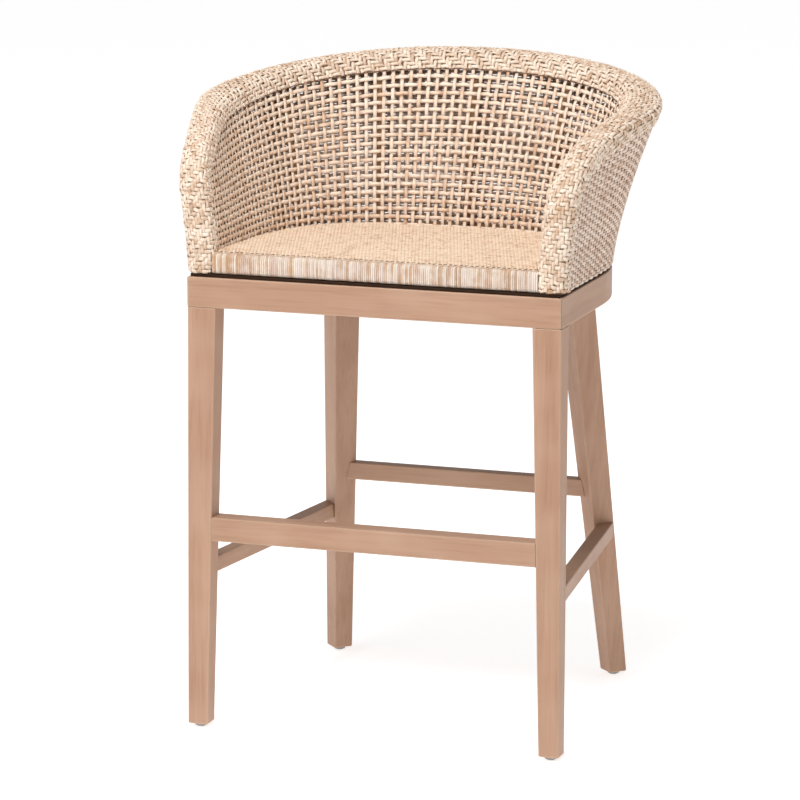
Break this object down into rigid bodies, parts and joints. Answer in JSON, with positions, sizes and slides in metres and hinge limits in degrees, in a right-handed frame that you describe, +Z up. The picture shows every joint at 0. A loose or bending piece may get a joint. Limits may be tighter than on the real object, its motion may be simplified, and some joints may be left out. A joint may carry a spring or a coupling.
{
  "type": "bar stool",
  "caption": "Barrel-back bar stool: a double-walled woven rattan tub seat on a splayed wooden base with a front footrest rail.",
  "frame": {"origin": "on the floor, under the middle of the stool's bounding box", "axes": "+Z up, the open front of the seat and the footrest face -Y, +X to the right as seen from the front"},
  "size_m": [0.72, 0.5476, 1],
  "materials": {
    "wood": "satin",
    "rattan": "satin",
    "cane_frame": "satin",
    "board": "matte",
    "steel": "satin",
    "glide": "matte"
  },
  "bodies": {
    "root": {"apron_front": "wood", "apron_left": "wood", "apron_rear": "wood", "apron_right": "wood", "base_board": "board", "corner_block_front_left": "wood", "corner_block_front_right": "wood", "corner_block_rear_left": "wood", "corner_block_rear_right": "wood", "footrest_rail": "wood", "glide_front_left": "glide", "glide_front_right": "glide", "glide_rear_left": "glide", "glide_rear_right": "glide", "leg_bolt_front_left": "steel", "leg_bolt_front_right": "steel", "leg_bolt_rear_left": "steel", "leg_bolt_rear_right": "steel", "leg_front_left": "wood", "leg_front_right": "wood", "leg_rear_left": "wood", "leg_rear_right": "wood", "seat_front_rail": "cane_frame", "seat_front_wrap": "rattan", "seat_hoop": "cane_frame", "seat_panel": "board", "seat_screw_1": "steel", "seat_screw_2": "steel", "seat_screw_3": "steel", "seat_screw_4": "steel", "seat_weave": "rattan", "stretcher_left": "wood", "stretcher_rear": "wood", "stretcher_right": "wood", "tub_base_hoop": "cane_frame", "tub_edge_band": "rattan", "tub_inner_weave": "rattan", "tub_outer_weave": "rattan", "tub_post_1": "cane_frame", "tub_post_2": "cane_frame", "tub_post_3": "cane_frame", "tub_post_4": "cane_frame", "tub_post_5": "cane_frame", "tub_post_6": "cane_frame", "tub_post_7": "cane_frame", "tub_post_8": "cane_frame", "tub_post_9": "cane_frame", "tub_rim_pole": "cane_frame"}
  },
  "joints": []
}
